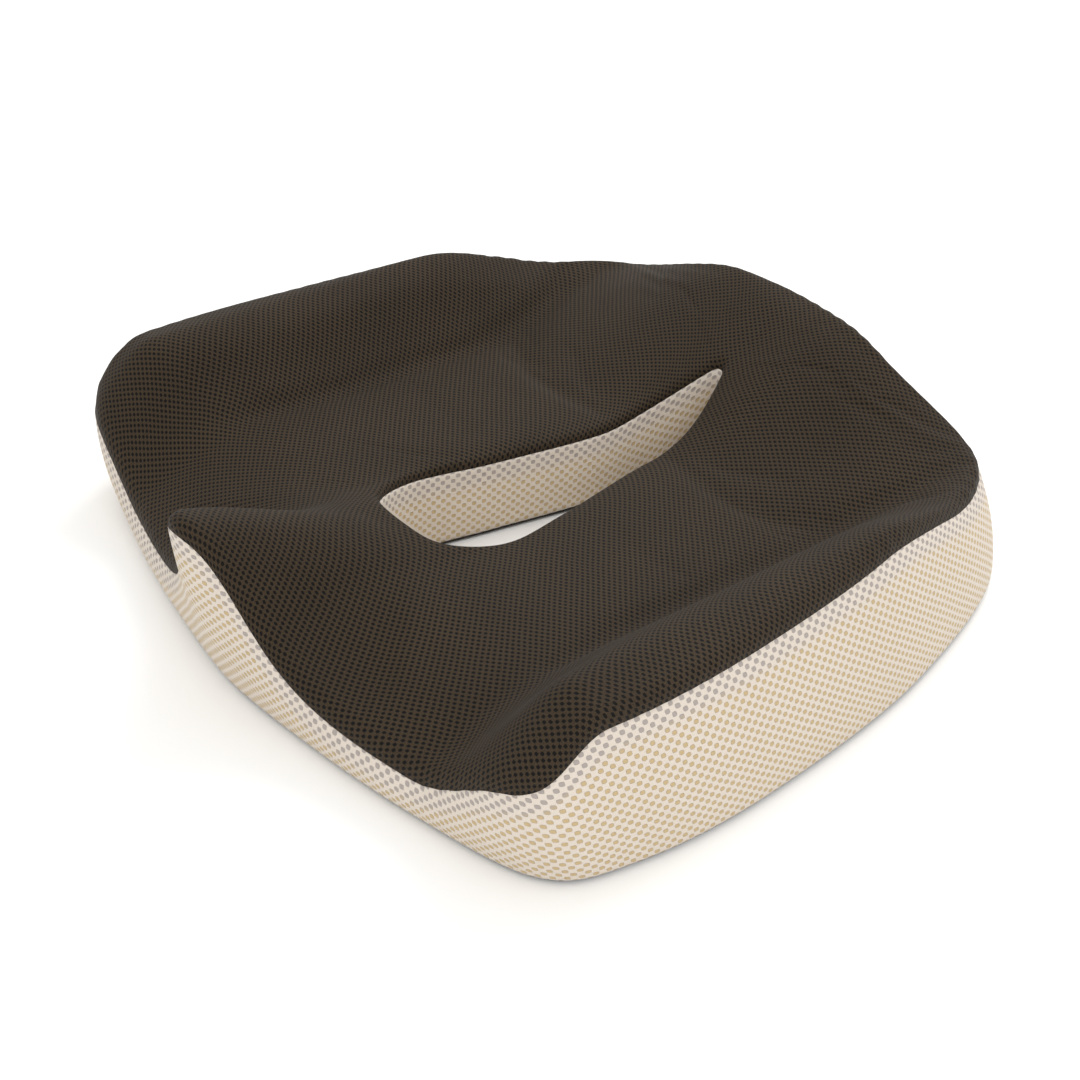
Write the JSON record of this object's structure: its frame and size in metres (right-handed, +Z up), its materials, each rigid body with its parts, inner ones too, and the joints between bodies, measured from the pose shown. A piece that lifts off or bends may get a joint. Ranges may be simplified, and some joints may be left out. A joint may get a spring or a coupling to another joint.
{
  "type": "contoured seat cushion",
  "caption": "Contoured foam seat cushion with a centre relief slot, raised pommel and sides, dark mesh seat, cream mesh walls and a zipped cover.",
  "frame": {"origin": "centre of the bounding box in plan, on the floor under the grip dots", "axes": "+X to the sitter's right, +Y to the rear, +Z up"},
  "size_m": [0.441, 0.4298, 0.1127],
  "materials": {
    "foam": "matt open-cell memory foam",
    "dark_mesh": "dark brown spacer mesh",
    "cream_mesh": "cream spacer mesh",
    "base_cloth": "dark woven anti-slip cloth",
    "grip": "soft silicone",
    "zip_tape": "woven tape",
    "zip_nylon": "nylon",
    "zip_metal": "plated die-cast zinc"
  },
  "bodies": {
    "cushion": {"foam_core": "foam", "top_panel": "dark_mesh", "side_boxing": "cream_mesh", "rear_boxing_upper": "cream_mesh", "rear_boxing_lower": "cream_mesh", "slot_wall": "cream_mesh", "base_panel": "base_cloth", "grip_dots": "grip", "zip_tape_upper": "zip_tape", "zip_tape_lower": "zip_tape", "zip_teeth_upper": "zip_nylon", "zip_teeth_lower": "zip_nylon", "zip_stop_shut": "zip_metal", "zip_stop_open": "zip_metal"},
    "slider": {"zip_slider": "zip_metal"},
    "pull": {"zip_pull": "zip_metal"}
  },
  "joints": [
    {"name": "zip_travel", "type": "slide", "parent": "cushion", "child": "slider", "axis": [-1, 0, 0], "range_m": [0, 0.152]},
    {"name": "pull_swing", "type": "hinge", "parent": "slider", "child": "pull", "pos_m": [0.078, 0.2028, 0.033], "axis": [0, 0, 1], "range_deg": [-180, 0]}
  ]
}
